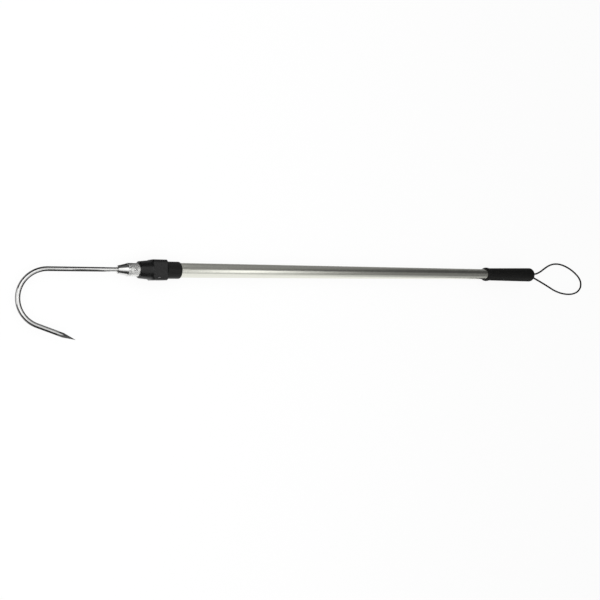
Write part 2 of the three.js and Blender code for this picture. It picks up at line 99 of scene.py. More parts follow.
class NodeGraph:
    """The node tree of a material or of the world, with short ways to add and join nodes."""

    def __init__(self, owner: str | bpy.types.World) -> None:
        """Empties a world's node tree, or makes a new material with an empty one.

        Args:
            owner: The new material's name, or the world.
        """
        self.owner = bpy.data.materials.new(owner) if isinstance(owner, str) else owner
        self.owner.use_nodes = True
        self.tree = self.owner.node_tree
        self.tree.nodes.clear()

    def add(self, kind: str, inputs: Mapping | None = None, **settings: object) -> bpy.types.Node:
        """Adds a node.

        Args:
            kind: The node's type name.
            inputs: Its sockets, each with a value or with the output socket that feeds it.
            **settings: The node's own properties.

        Returns:
            The new node.
        """
        node = self.tree.nodes.new(kind)
        for key, value in settings.items():
            setattr(node, key, value)
        for socket, value in (inputs or {}).items():
            if isinstance(value, bpy.types.NodeSocket):
                self.tree.links.new(value, node.inputs[socket])
            else:
                node.inputs[socket].default_value = value
        return node

    def sum(self, operation: str, *values: object) -> bpy.types.NodeSocket:
        """Adds a maths node, whose values are numbers or output sockets."""
        return self.add("ShaderNodeMath", dict(enumerate(values)), operation=operation).outputs[0]

    def spread(self, value: bpy.types.NodeSocket, low: float, high: float) -> bpy.types.NodeSocket:
        """Spreads a value from 0 to 1 over the range from low to high."""
        node = self.add("ShaderNodeMapRange", {"Value": value, "To Min": low, "To Max": high})
        return node.outputs["Result"]

    def ramp(
        self, value: object, first: Colour, last: Colour, span: Span = (0.3, 0.7)
    ) -> bpy.types.NodeSocket:
        """Adds a ramp from one colour to another.

        Args:
            value: The value that the ramp reads.
            first: The colour up to the span's start.
            last: The colour from the span's end.
            span: Where the change starts and ends, from 0 to 1.

        Returns:
            The ramp's colour.
        """
        node = self.add("ShaderNodeValToRGB", {"Fac": value})
        for element, place, colour in zip(node.color_ramp.elements, span, (first, last)):
            element.position = place
            element.color = (*colour, 1.0)
        return node.outputs["Color"]

    def noise(self, coordinates: object, scale: Triple, detail: float = 4.0) -> bpy.types.NodeSocket:
        """Adds noise stretched along the axes.

        Args:
            coordinates: The vector that the noise reads.
            scale: The noise's cells per metre along each axis.
            detail: How many octaves it has.

        Returns:
            The noise's value.
        """
        mapped = self.add("ShaderNodeMapping", {"Vector": coordinates, "Scale": scale})
        inputs = {"Vector": mapped.outputs["Vector"], "Scale": 1.0, "Detail": detail}
        return self.add("ShaderNodeTexNoise", inputs).outputs["Fac"]

    def place(self) -> bpy.types.NodeSocket:
        """Gives the point's place in the gaff's frame."""
        return self.add("ShaderNodeTexCoord").outputs["Object"]

    def lay(self) -> bpy.types.NodeSocket:
        """Gives the place on a swept piece: cosine and sine round it, and the distance along it."""
        return self.add("ShaderNodeAttribute", attribute_name="lay").outputs["Vector"]

    def glow(self, strength: object) -> bpy.types.NodeSocket:
        """Adds a white emission, whose strength is a number or an output socket."""
        return self.add("ShaderNodeEmission", {"Color": WHITE, "Strength": strength}).outputs[0]

    def finish(self, colour: object, rough: object, bump: Mapping, **sockets: float) -> bpy.types.Material:
        """Ends the tree with a surface shader.

        Args:
            colour: The base colour's socket.
            rough: The roughness, a number or an output socket.
            bump: The bump's height, with the metres that 1 stands for and its strength.
            **sockets: The shader's other sockets, with their values.

        Returns:
            The finished material.
        """
        normal = self.add("ShaderNodeBump", bump).outputs["Normal"]
        inputs = {"Base Color": colour, "Roughness": rough, "Normal": normal, **sockets}
        shader = self.add("ShaderNodeBsdfPrincipled", inputs)
        self.add("ShaderNodeOutputMaterial", {"Surface": shader.outputs["BSDF"]})
        return self.owner


@dataclass(frozen=True)
class DrawnAluminium:
    """Drawn tube: fine lines along the pole, and soft mottling."""

    name: str = "brushed_tube"
    slot: Slot = Slot.TUBE
    light: Colour = (0.80, 0.80, 0.725)
    dark: Colour = (0.70, 0.70, 0.63)
    smooth: float = 0.2
    rough: float = 0.24
    line_scale: Triple = (3.0, 1900.0, 1900.0)
    line_depth: float = 0.02 * MM
    line_strength: float = 0.35
    mottle_scale: Triple = (22.0, 150.0, 150.0)
    tone_gain: float = 2.0
    tone_lift: float = 0.5
    tone_span: Span = (0.1, 0.9)

    def build(self) -> bpy.types.Material:
        """Builds the material.

        Returns:
            The material.
        """
        graph = NodeGraph(self.name)
        place = graph.place()
        lines = graph.noise(place, self.line_scale)
        mottle = graph.noise(place, self.mottle_scale, detail=2.0)
        tone = graph.sum("MULTIPLY", lines, mottle)
        blend = graph.sum("MULTIPLY_ADD", tone, self.tone_gain, self.tone_lift)
        colour = graph.ramp(blend, self.dark, self.light, self.tone_span)
        rough = graph.spread(mottle, self.smooth, self.rough)
        bump = {"Height": lines, "Distance": self.line_depth, "Strength": self.line_strength}
        return graph.finish(colour, rough, bump, Metallic=1.0)


@dataclass(frozen=True)
class PolishedSteel:
    """Polished stainless steel with faint polishing lines."""

    name: str = "bright_steel"
    slot: Slot = Slot.STEEL
    light: Colour = (0.80, 0.80, 0.79)
    dark: Colour = (0.70, 0.70, 0.69)
    smooth: float = 0.09
    rough: float = 0.17
    line_scale: Triple = (900.0, 60.0, 60.0)
    line_depth: float = 0.008 * MM
    line_strength: float = 0.3
    cloud_scale: Triple = (90.0, 90.0, 90.0)
    along_wire: bool = False

    def build(self) -> bpy.types.Material:
        """Builds the material.

        Returns:
            The material.
        """
        graph = NodeGraph(self.name)
        place = graph.lay() if self.along_wire else graph.place()
        lines = graph.noise(place, self.line_scale)
        cloud = graph.noise(graph.place(), self.cloud_scale, detail=2.0)
        colour = graph.ramp(cloud, self.dark, self.light)
        rough = graph.spread(lines, self.smooth, self.rough)
        bump = {"Height": lines, "Distance": self.line_depth, "Strength": self.line_strength}
        return graph.finish(colour, rough, bump, Metallic=1.0)


@dataclass(frozen=True)
class MouldedPlastic:
    """Moulded plastic with a fine grain, and a polish that varies with handling."""

    name: str = "moulded_plastic"
    slot: Slot = Slot.LOCK
    light: Colour = (0.0058, 0.0058, 0.006)
    dark: Colour = (0.0042, 0.0042, 0.0043)
    fresh: float = 0.34
    worn: float = 0.24
    gloss: float = 0.4
    milky: float = 0.0
    wear_scale: Triple = (140.0, 220.0, 220.0)
    grain_scale: float = 2600.0
    grain_detail: float = 4.0
    grain_depth: float = 0.03 * MM
    grain_strength: float = 0.5

    def build(self) -> bpy.types.Material:
        """Builds the material.

        Returns:
            The material.
        """
        graph = NodeGraph(self.name)
        place = graph.place()
        grain = graph.noise(place, (self.grain_scale,) * 3, self.grain_detail)
        wear = graph.noise(place, self.wear_scale, detail=3.0)
        colour = graph.ramp(wear, self.dark, self.light)
        rough = graph.spread(wear, self.fresh, self.worn)
        bump = {"Height": grain, "Distance": self.grain_depth, "Strength": self.grain_strength}
        sockets = {"Specular IOR Level": self.gloss, "Subsurface Weight": self.milky}
        return graph.finish(colour, rough, bump, **sockets)


@dataclass(frozen=True)
class GripRubber:
    """Soft black rubber: matte, with a fine pebbled skin and a little dust in it."""

    name: str = "foam_rubber"
    slot: Slot = Slot.GRIP
    clean: Colour = (0.004, 0.004, 0.0037)
    dusty: Colour = (0.0065, 0.0064, 0.0057)
    smooth: float = 0.5
    rough: float = 0.68
    gloss: float = 0.2
    dust_scale: Triple = (60.0, 110.0, 110.0)
    dust_span: Span = (0.35, 0.75)
    pebble_scale: float = 1500.0
    pebble_depth: float = 0.06 * MM
    pebble_strength: float = 0.4

    def build(self) -> bpy.types.Material:
        """Builds the material.

        Returns:
            The material.
        """
        graph = NodeGraph(self.name)
        place = graph.place()
        inputs = {"Vector": place, "Scale": self.pebble_scale}
        pebble = graph.add("ShaderNodeTexVoronoi", inputs).outputs["Distance"]
        dust = graph.noise(place, self.dust_scale, detail=5.0)
        colour = graph.ramp(dust, self.clean, self.dusty, self.dust_span)
        rough = graph.spread(dust, self.smooth, self.rough)
        bump = {"Height": pebble, "Distance": self.pebble_depth, "Strength": self.pebble_strength}
        return graph.finish(colour, rough, bump, **{"Specular IOR Level": self.gloss})


@dataclass(frozen=True)
class BraidedNylon:
    """Round braid: two families of strands wind round the cord and pass over and under each other."""

    name: str = "lanyard_braid"
    slot: Slot = Slot.CORD
    raised: Colour = (0.0012, 0.0012, 0.0013)
    # The colour of the grooves between strands, darker as painted shade.
    groove_shade: Colour = (0.0005, 0.0005, 0.0005)
    tone_span: Span = (0.15, 0.9)
    rough: float = 0.75
    gloss: float = 0.06
    strands: int = 8
    pitch: float = 9.0 * MM
    roundness: float = 0.5
    depth: float = 0.14 * MM
    strength: float = 0.6
    fibre_scale: Triple = (5200.0, 5200.0, 5200.0)
    fibre_tone: Span = (0.7, 1.2)

    def build(self) -> bpy.types.Material:
        """Builds the material.

        Returns:
            The material.
        """
        graph = NodeGraph(self.name)
        parts = graph.add("ShaderNodeSeparateXYZ", {"Vector": graph.lay()})
        angle = graph.sum("ARCTAN2", parts.outputs["Y"], parts.outputs["X"])
        around = graph.sum("MULTIPLY", angle, self.strands / 2)
        along = graph.sum("MULTIPLY", parts.outputs["Z"], self.strands * math.pi / self.pitch)
        left = graph.sum("SINE", graph.sum("ADD", around, along))
        right = graph.sum("SINE", graph.sum("SUBTRACT", around, along))
        over = graph.sum("GREATER_THAN", graph.sum("MULTIPLY", left, right), 0.0)
        under = graph.sum("SUBTRACT", 1.0, over)
        shown = []
        for strand, share in ((left, over), (right, under)):
            rise = graph.sum("POWER", graph.sum("ABSOLUTE", strand), self.roundness)
            shown.append(graph.sum("MULTIPLY", rise, share))
        height = graph.sum("ADD", *shown)
        fibre = graph.noise(graph.place(), self.fibre_scale, detail=2.0)
        # The colour is darker where the braid is low, as painted shade in the grooves, with a random fibre
        # tone.
        tone = graph.sum("MULTIPLY", height, graph.spread(fibre, *self.fibre_tone))
        colour = graph.ramp(tone, self.groove_shade, self.raised, self.tone_span)
        bump = {"Height": height, "Distance": self.depth, "Strength": self.strength}
        return graph.finish(colour, self.rough, bump, **{"Specular IOR Level": self.gloss})


GREY_NYLON = MouldedPlastic(
    name="grey_nylon", slot=Slot.NYLON, light=(0.60, 0.59, 0.55), dark=(0.50, 0.49, 0.455),
    fresh=0.42, worn=0.55, gloss=0.5, milky=0.05, wear_scale=(160.0, 160.0, 160.0),
    grain_scale=1800.0, grain_detail=2.0, grain_strength=0.3,
)


@dataclass(frozen=True)
class Corner:
    """One corner of a turned outline: its station, its radius and the size of its rounding."""

    station: float
    radius: float
    round: float = 0.0


def object_of(name: str, mesh_data: bmesh.types.BMesh) -> bpy.types.Object:
    """Makes an object at the origin from a bmesh, and frees the bmesh.

    Args:
        name: The piece's name.
        mesh_data: Its shape, already in place.

    Returns:
        The object, in the scene.
    """
    mesh = bpy.data.meshes.new(name)
    mesh_data.to_mesh(mesh)
    mesh_data.free()
    piece = bpy.data.objects.new(name, mesh)
    bpy.context.scene.collection.objects.link(piece)
    return piece


def ring_edges(shape: bmesh.types.BMesh, corner: Corner) -> list[bmesh.types.BMEdge]:
    """Finds the edges that a corner of the outline has swept.

    Args:
        shape: The turned shape, about the pole's axis.
        corner: The corner.

    Returns:
        The ring of edges.
    """
    spots = ((vertex, math.hypot(vertex.co.y, vertex.co.z)) for vertex in shape.verts)
    ring = {
        vertex for vertex, radius in spots
        if abs(vertex.co.x - corner.station) < TOUCH and abs(radius - corner.radius) < TOUCH
    }
    return [edge for edge in shape.edges if ring.issuperset(edge.verts)]


def turned(name: str, outline: Sequence[Spot], steps: int = FINE_STEPS) -> bpy.types.Object:
    """Turns an outline about the pole's axis, and rounds its corners.

    Args:
        name: The piece's name.
        outline: Its corners' numbers. It closes on itself unless both its ends lie on the axis.
        steps: The number of steps in a turn.

    Returns:
        The turned piece.
    """
    corners = [Corner(*spot) for spot in outline]
    shape = bmesh.new()
    points = [shape.verts.new((corner.station, 0.0, corner.radius)) for corner in corners]
    closed = corners[0].radius > 0 or corners[-1].radius > 0
    ends = points[1:] + points[:1] if closed else points[1:]
    edges = [shape.edges.new(pair) for pair in zip(points, ends)]
    bmesh.ops.spin(
        shape, geom=points + edges, cent=(0, 0, 0), axis=(1, 0, 0), angle=TURN, steps=steps, use_merge=True
    )
    bmesh.ops.remove_doubles(shape, verts=shape.verts, dist=MERGE)
    for corner in corners:
        if corner.round > 0:
            bmesh.ops.bevel(
                shape, geom=ring_edges(shape, corner), offset=corner.round, offset_type="OFFSET",
                segments=ROUND_STEPS, profile=0.5, affect="EDGES", material=-1,
            )
    bmesh.ops.recalc_face_normals(shape, faces=shape.faces)
    return object_of(name, shape)


def slope(start: Span, end: Span) -> list[Spot]:
    """Joins two corners by a soft S, level at both ends.

    Args:
        start: The station and radius where it begins.
        end: The station and radius where it ends.

    Returns:
        The corners of the S.
    """
    middle = (start[0] + end[0]) / 2
    line = [Vector(spot) for spot in (start, (middle, start[1]), (middle, end[1]), end)]
    return [tuple(point) for point in interpolate_bezier(*line, CURVE_STEPS)]


def tube(name: str, node: str, wall: float) -> bpy.types.Object:
    """Makes a plain tube in the place of a CAD node.

    Args:
        name: The piece's name.
        node: The node, whose box gives the tube's ends and its radius.
        wall: The tube's wall.

    Returns:
        The tube.
    """
    low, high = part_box(node)
    bore = high.z - wall
    return turned(name, [(low.x, bore), (low.x, high.z, EDGE), (high.x, high.z, EDGE), (high.x, bore)])


def rod(name: str, radius: float, start: Vector, end: Vector) -> bpy.types.Object:
    """Makes a round rod between two points.

    Args:
        name: The piece's name.
        radius: Its radius.
        start: The centre of one end.
        end: The centre of the other end.

    Returns:
        The rod.
    """
    shape = bmesh.new()
    along = end - start
    middle = Matrix.Translation((start + end) / 2)
    place = middle @ along.to_track_quat("Z", "Y").to_matrix().to_4x4()
    bmesh.ops.create_cone(
        shape, cap_ends=True, segments=SMALL_STEPS, radius1=radius, radius2=radius, depth=along.length,
        matrix=place,
    )
    return object_of(name, shape)


def block(name: str, size: Vector, place: Matrix) -> bpy.types.Object:
    """Makes a box.

    Args:
        name: The piece's name.
        size: Its three sides.
        place: Where its middle goes, and how it is turned.

    Returns:
        The box.
    """
    shape = bmesh.new()
    bmesh.ops.create_cube(shape, size=1.0, matrix=place @ Matrix.Diagonal(size).to_4x4())
    return object_of(name, shape)


def swept(path: Sequence[Vector], radius: float, sides: int, aside: Vector) -> bmesh.types.BMesh:
    """Sweeps a circle along a path, and keeps each point's place round it and along it.

    Args:
        path: The centre line.
        radius: The section's radius.
        sides: The section's sides.
        aside: A direction that is never along the path, from which the section's turn is counted.

    Returns:
        The closed tube's bmesh.
    """
    shape = bmesh.new()
    lay = shape.verts.layers.float_vector.new("lay")
    places = section_places(path, aside)
    ring = bmesh.ops.create_circle(shape, cap_ends=False, radius=radius, segments=sides)["verts"]
    for vertex in ring:
        vertex[lay] = Vector((vertex.co.x / radius, vertex.co.y / radius, 0.0))
    edges = list(dict.fromkeys(edge for vertex in ring for edge in vertex.link_edges))
    bmesh.ops.edgeloop_fill(shape, edges=edges)
    bmesh.ops.transform(shape, matrix=places[0], verts=ring)
    gone = 0.0
    for number in range(1, len(path)):
        gone += (path[number] - path[number - 1]).length
        grown = bmesh.ops.extrude_edge_only(shape, edges=edges)["geom"]
        ring = [item for item in grown if isinstance(item, bmesh.types.BMVert)]
        edges = [item for item in grown if isinstance(item, bmesh.types.BMEdge)]
        step = places[number] @ places[number - 1].inverted()
        bmesh.ops.transform(shape, matrix=step, verts=ring)
        for vertex in ring:
            vertex[lay] = Vector((vertex[lay].x, vertex[lay].y, gone))
    bmesh.ops.edgeloop_fill(shape, edges=edges)
    bmesh.ops.recalc_face_normals(shape, faces=shape.faces)
    return shape


def section_places(path: Sequence[Vector], aside: Vector) -> list[Matrix]:
    """Works out where the section stands at each point of a path.

    Args:
        path: The centre line.
        aside: The direction from which the section's turn is counted.

    Returns:
        A matrix for each point, whose Z runs along the path.
    """
    places = []
    side = aside
    for number, point in enumerate(path):
        before = path[max(number - 1, 0)]
        after = path[min(number + 1, len(path) - 1)]
        along = (after - before).normalized()
        side = (side - along * side.dot(along)).normalized()
        turn = Matrix((side, along.cross(side), along)).transposed()
        places.append(Matrix.Translation(point) @ turn.to_4x4())
    return places


def settle(piece: bpy.types.Object) -> None:
    """Applies a piece's modifiers to its mesh.

    Args:
        piece: The piece.
    """
    graph = bpy.context.evaluated_depsgraph_get()
    mesh = bpy.data.meshes.new_from_object(piece.evaluated_get(graph))
    piece.modifiers.clear()
    piece.data = mesh
    mesh.name = piece.name


def combine(piece: bpy.types.Object, others: Iterable[bpy.types.Object], how: str = "DIFFERENCE") -> None:
    """Cuts other closed shapes out of a piece, or joins them to it, and removes them.

    Args:
        piece: The piece.
        others: The shapes.
        how: DIFFERENCE to cut them out, or UNION to join them.
    """
    for other in others:
        step = piece.modifiers.new("combine", "BOOLEAN")
        step.operation = how
        step.solver = "EXACT"
        step.object = other
        bpy.context.view_layer.update()
        settle(piece)
        bpy.data.objects.remove(other)


def soften(piece: bpy.types.Object, width: float, segments: int = 2) -> None:
    """Breaks a piece's sharp edges.

    Args:
        piece: The piece.
        width: The width of the broken edge.
        segments: The steps across it.
    """
    edge = piece.modifiers.new("broken_edges", "BEVEL")
    edge.width = width
    edge.segments = segments
    edge.limit_method = "ANGLE"
    edge.angle_limit = SHARP
    edge.use_clamp_overlap = False
    settle(piece)


def dress(piece: bpy.types.Object, finish: object, body: Body, *nodes: str, angle: float = 32.0) -> None:
    """Shades a piece, gives it its finish, and seats it on its body in place of CAD nodes.

    Args:
        piece: The piece.
        finish: The finish, with its build method.
        body: The body that it rides on.
        *nodes: The CAD nodes that it stands for.
        angle: The angle in degrees above which an edge stays sharp.
    """
    piece.data.shade_smooth()
    piece.data.set_sharp_from_angle(angle=math.radians(angle))
    even = piece.modifiers.new("even_faces", "WEIGHTED_NORMAL")
    even.keep_sharp = True
    settle(piece)
    piece.data.materials.clear()
    piece.data.materials.append(material_of(finish))
    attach(piece, body.value)
    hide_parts(*nodes)
    log.info("%s: %d faces, for %s", piece.name, len(piece.data.polygons), ", ".join(nodes))


@cache
def material_of(finish: object) -> bpy.types.Material:
    """Gives a finish's material, which is built once."""
    return finish.build()


def refinish(finish: object, *nodes: str) -> None:
    """Gives a finish to CAD nodes that stay as they are."""
    for node in nodes:
        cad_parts[node].data.materials[0] = material_of(finish)


@dataclass
class Lanyard:
    """The wrist lanyard: a limp cord loop that lies on the table, and its knot in the butt."""

    radius: float = 1.9 * MM
    length: float = 536.7 * MM
    hole_side: float = 3.5 * MM
    sides: int = 20
    steps_per_span: int = 14
    knot_middle: float = 15.2 * MM
    knot_ring: float = 3.1 * MM
    knot_wave: float = 1.5 * MM
    knot_cord: float = 1.3 * MM
    knot_entry: float = 9.9 * MM
    knot_steps: int = 24
    knot_start: float = -TURN / 4
    knot_end: float = TURN / 2
    knot_waves: int = 3
    knot_rounds: int = 2
    strand_start: float = -0.6 * MM
    rest_height: float = -13.43 * MM

    def route(self) -> list[Vector]:
        """Gives the cord's route: station, side and height of each point.

        Returns:
            The points, from one hole of the butt face to the other.
        """
        leaving = (
            (-0.3, -3.5, 0.0), (-8, -3.5, -0.3), (-17, -3.4, -2.9), (-27, -3.2, -8), (-37, -2.9, -12),
            (-48, -3, -13.25),
        )
        lying = (
            (-66, -7.9), (-83, -15.3), (-101, -22.4), (-121.5, -26.9), (-143.5, -27.6), (-165, -24.9),
            (-185.5, -19.8), (-204.5, -13.1), (-222, -4.8), (-237, 4.8), (-246.4, 16.8), (-245.2, 29.4),
            (-231.8, 40), (-210.3, 45.6), (-187, 46.6), (-164.5, 44.9), (-143, 41.2), (-123, 35.9),
            (-105, 29.4), (-87, 22.9), (-69, 16.6),
        )
        returning = (
            (-52, 11, -13.2), (-39, 7.4, -12), (-28, 5, -8.5), (-17, 3.8, -3), (-8, 3.5, -0.3),
            (-0.3, 3.5, 0.0),
        )
        on_table = [(*spot, self.rest_height / MM) for spot in lying]
        return [Vector(point) * MM for point in (*leaving, *on_table, *returning)]

    def smooth_line(self, points: Sequence[Vector]) -> list[Vector]:
        """Runs a smooth line through points, evenly tight whatever their spacing.

        Args:
            points: The points.

        Returns:
            The line's points.
        """
        first, last = points[0] * 2 - points[1], points[-1] * 2 - points[-2]
        padded = [first, *points, last]
        line = []
        for before, start, end, after in zip(padded, padded[1:], padded[2:], padded[3:]):
            spans = [math.sqrt((b - a).length) for a, b in ((before, start), (start, end), (end, after))]
            across_start = (end - before) / (spans[0] + spans[1])
            across_end = (after - start) / (spans[1] + spans[2])
            leave = (start - before) / spans[0] - across_start + (end - start) / spans[1]
            arrive = (end - start) / spans[1] - across_end + (after - end) / spans[2]
            handles = start + leave * spans[1] / 3, end - arrive * spans[1] / 3
            line += interpolate_bezier(start, *handles, end, self.steps_per_span)[:-1]
        return [*line, points[-1]]

    def cord(self) -> tuple[bpy.types.Object, list[Vector]]:
        """Makes the free loop.

        Returns:
            The cord, and the line that it follows.
        """
        line = self.smooth_line(self.route())
        shape = swept(line, self.radius, self.sides, Vector((0, 0, 1)))
        return object_of("wrist_cord", shape), line

    def knot(self) -> bpy.types.Object:
        """Makes the knot behind the end plug, with the two ends that come through the holes.

        Returns:
            The knot.
        """
        entry, start = self.knot_entry, self.strand_start
        points = [Vector((station, -self.hole_side, 0)) for station in (start, entry)]
        sweep = self.knot_end - self.knot_start
        for number in range(self.knot_steps + 1):
            turn = self.knot_start + sweep * number / self.knot_steps
            wave, lap = self.knot_waves * turn, self.knot_rounds * turn
            out = self.knot_ring + self.knot_wave * math.cos(wave)
            station = self.knot_middle + self.knot_wave * math.sin(wave)
            points.append(Vector((station, out * math.cos(lap), out * math.sin(lap))))
        points += [Vector((station, self.hole_side, 0)) for station in (entry, start)]
        shape = swept(self.smooth_line(points), self.knot_cord, self.sides, Vector((0, 1, 0.3)))
        return object_of("cord_knot", shape)

    def make(self) -> None:
        loop, line = self.cord()
        knot = self.knot()
        braid = BraidedNylon()
        dress(loop, braid, Body.POLE, "lanyard", angle=60)
        dress(knot, braid, Body.POLE, "lanyard_knot", angle=60)


@dataclass
class Pole:
    """The outer tube with the rubber grip at its butt."""

    tube_wall: float = 1.0 * MM
    grip_gap: float = 0.15 * MM
    grip_end_wall: float = 4.5 * MM
    neck_radius: float = 13.15 * MM
    lip_radius: float = 14.5 * MM
    lip_slope: float = 8.5 * MM
    lip_nose: float = 5.5 * MM
    mouth_radius: float = 11.8 * MM
    nose_steps: int = 10
    butt_round: float = 1.6 * MM
    hole_radius: float = 1.9 * MM
    hole_side: float = 3.5 * MM

    def grip(self) -> bpy.types.Object:
        """Makes the grip: a closed sleeve, tapered, with a rolled lip and two holes for the cord.

        Returns:
            The grip.
        """
        low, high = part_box("grip")
        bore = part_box("outer_tube")[1].z + self.grip_gap
        lip_top = high.x - self.lip_nose
        rise = slope((lip_top - self.lip_slope, self.neck_radius), (lip_top, self.lip_radius))
        depth = self.lip_radius - self.mouth_radius
        turns = [math.pi / 2 * number / self.nose_steps for number in range(1, self.nose_steps + 1)]
        nose = [
            (lip_top + self.lip_nose * math.sin(turn), self.mouth_radius + depth * math.cos(turn))
            for turn in turns
        ]
        outline = [
            (low.x, 0), (low.x, high.z, self.butt_round), *rise, *nose,
            (high.x, bore, EDGE), (self.grip_end_wall, bore), (self.grip_end_wall, 0),
        ]
        grip = turned("rubber_grip", outline)
        reach = Vector((self.grip_end_wall * 2, 0, 0))
        sides = [Vector((0, hand * self.hole_side, 0)) for hand in (-1, 1)]
        combine(grip, [rod("hole", self.hole_radius, side - reach, side + reach) for side in sides])
        return grip

    def make(self) -> None:
        """Makes the tube and the grip, dresses them, and gives the plug between them its finish."""
        dress(tube("outer_pole", "outer_tube", self.tube_wall), DrawnAluminium(), Body.POLE, "outer_tube")
        dress(self.grip(), GripRubber(), Body.POLE, "grip")
        refinish(GREY_NYLON, "end_plug")


@dataclass
class TwistLock:
    """The collar on the outer tube, and the nut that closes the collet."""

    sleeve_bore: float = 11.15 * MM
    seat: float = 19.3 * MM
    sleeve_length: float = 23.1 * MM
    rear_round: float = 1.6 * MM
    shoulder_bevel: float = 0.4 * MM
    spigot_radius: float = 10.9 * MM
    spigot_bore: float = 9.65 * MM
    spigot_bevel: float = 0.5 * MM
    groove_depth: float = 0.6 * MM
    groove_start: float = 929.0 * MM
    groove_end: float = 933.6 * MM
    across_flats: float = 25.4 * MM
    block_length: float = 22.6 * MM
    corner_round: float = 4.5 * MM
    corner_steps: int = 10
    block_bevel: float = 0.8 * MM
    flare_length: float = 4.0 * MM
    waist_radius: float = 13.75 * MM
    flare_share: float = 0.25
    nose_radius: float = 12.2 * MM
    nose_round: float = 1.1 * MM
    thread_radius: float = 11.2 * MM
    thread_length: float = 18.9 * MM
    front_bore: float = 9.8 * MM
    cone_seat: float = 11.9 * MM
    cone_tip: float = 10.7 * MM
    cone_start: float = 939.1 * MM
    cone_end: float = 951.4 * MM
    screw_radius: float = 1.5 * MM
    screw_gap: float = 0.15 * MM
    screw_station: float = 930.3 * MM
    screw_angle: float = math.radians(42)
    screw_top: float = 16.9 * MM
    screw_nose: float = 10.6 * MM
    slot_width: float = 0.5 * MM
    slot_depth: float = 0.7 * MM
    nut_edge: float = 0.18 * MM
    screw_edge: float = 0.08 * MM

    def collar(self) -> bpy.types.Object:
        """Makes the collar body: a sleeve on the tube, and a spigot with the screw's groove.

        Returns:
            The collar.
        """
        low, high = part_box("collar_body")
        shoulder = low.x + self.sleeve_length
        groove = self.spigot_radius - self.groove_depth
        seat = low.x + self.seat
        outline = [
            (low.x, self.sleeve_bore, EDGE), (low.x, high.z, self.rear_round),
            (shoulder, high.z, self.shoulder_bevel), (shoulder, self.spigot_radius),
            (self.groove_start, self.spigot_radius), (self.groove_start, groove),
            (self.groove_end, groove), (self.groove_end, self.spigot_radius),
            (high.x, self.spigot_radius, self.spigot_bevel), (high.x, self.spigot_bore),
            (seat, self.spigot_bore), (seat, self.sleeve_bore),
        ]
        return turned("lock_collar", outline)

    def outward(self, radius: float) -> Vector:
        """Gives the point on the grub screw's line at a distance from the pole's axis."""
        side, height = math.sin(self.screw_angle), math.cos(self.screw_angle)
        return Vector((self.screw_station, side * radius, height * radius))

    def nut_block(self) -> bpy.types.Object:
        """Makes the nut's rear block, with four rounded long edges and bevelled ends.

        Returns:
            The block.
        """
        low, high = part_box("lock_nut")
        size = Vector((self.block_length, 2 * high.y, self.across_flats))
        middle = Matrix.Translation((low.x + self.block_length / 2, 0, 0))
        shape = bmesh.new()
        bmesh.ops.create_cube(shape, size=1.0, matrix=middle @ Matrix.Diagonal(size).to_4x4())
        bevels = (self.corner_round, self.corner_steps, True), (self.block_bevel, 1, False)
        for width, steps, along in bevels:
            spans = [(edge, abs(edge.verts[0].co.x - edge.verts[1].co.x) > TOUCH) for edge in shape.edges]
            bmesh.ops.bevel(
                shape, geom=[edge for edge, runs in spans if runs == along], offset=width,
                offset_type="OFFSET", segments=steps, profile=0.5, affect="EDGES", material=-1,
            )
        return object_of("twist_nut", shape)

    def nut(self) -> bpy.types.Object:
        """Makes the nut: a rounded block, flat on four sides, with a long cone in front.

        Returns:
            The nut.
        """
        low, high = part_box("lock_nut")
        block_end = low.x + self.block_length
        flare_end = block_end + self.flare_length
        flare_radius = self.waist_radius + (high.z - self.waist_radius) * self.flare_share
        control = Vector((block_end + self.flare_length / 2, flare_radius))
        start, end = Vector((block_end, high.z)), Vector((flare_end, self.waist_radius))
        handles = start.lerp(control, 2 / 3), end.lerp(control, 2 / 3)
        flare = [tuple(point) for point in interpolate_bezier(start, *handles, end, CURVE_STEPS)]
        cone_start = block_end - self.block_bevel
        cone = turned("cone", [
            (cone_start, 0), (cone_start, high.z), *flare,
            (high.x, self.nose_radius, self.nose_round), (high.x, 0),
        ])
        thread_end = low.x + self.thread_length
        rear, front = low.x - self.thread_length, high.x + self.thread_length
        bore = turned("bore", [
            (rear, 0), (rear, self.thread_radius), (thread_end, self.thread_radius),
            (thread_end, self.cone_seat), (self.cone_start, self.cone_seat),
            (self.cone_end, self.cone_tip), (self.cone_end, self.front_bore),
            (front, self.front_bore), (front, 0),
        ])
        hole_radius = self.screw_radius + self.screw_gap
        hole = rod("hole", hole_radius, self.outward(self.spigot_radius), self.outward(high.y * 2))
        nut = self.nut_block()
        combine(nut, [cone], "UNION")
        combine(nut, [bore, hole])
        soften(nut, self.nut_edge)
        return nut

    def grub_screw(self) -> bpy.types.Object:
        """Makes the slotted grub screw in the nut's side.

        Returns:
            The screw.
        """
        top = self.outward(self.screw_top)
        screw = rod("nut_grub_screw", self.screw_radius, self.outward(self.screw_nose), top)
        place = Matrix.Translation(top) @ Matrix.Rotation(-self.screw_angle, 4, "X")
        slot = block("slot", Vector((self.slot_width, self.screw_radius * 3, self.slot_depth * 2)), place)
        combine(screw, [slot])
        soften(screw, self.screw_edge)
        return screw

    def make(self) -> None:
        """Makes the lock's pieces and dresses them."""
        matt = MouldedPlastic(
            name="matt_plastic", light=(0.0115, 0.0115, 0.0113), dark=(0.009, 0.009, 0.0088), gloss=0.12
        )
        screw_finish = PolishedSteel(
            name="blackened_steel", slot=Slot.NUT_SCREW, light=(0.26, 0.26, 0.26), dark=(0.2, 0.2, 0.2),
            smooth=0.12, rough=0.2,
        )
        dress(self.collar(), matt, Body.POLE, "collar_body")
        dress(self.nut(), MouldedPlastic(), Body.LOCK_SLEEVE, "lock_nut")
        dress(self.grub_screw(), screw_finish, Body.LOCK_SLEEVE, "nut_screw")
        refinish(GREY_NYLON, "collet")


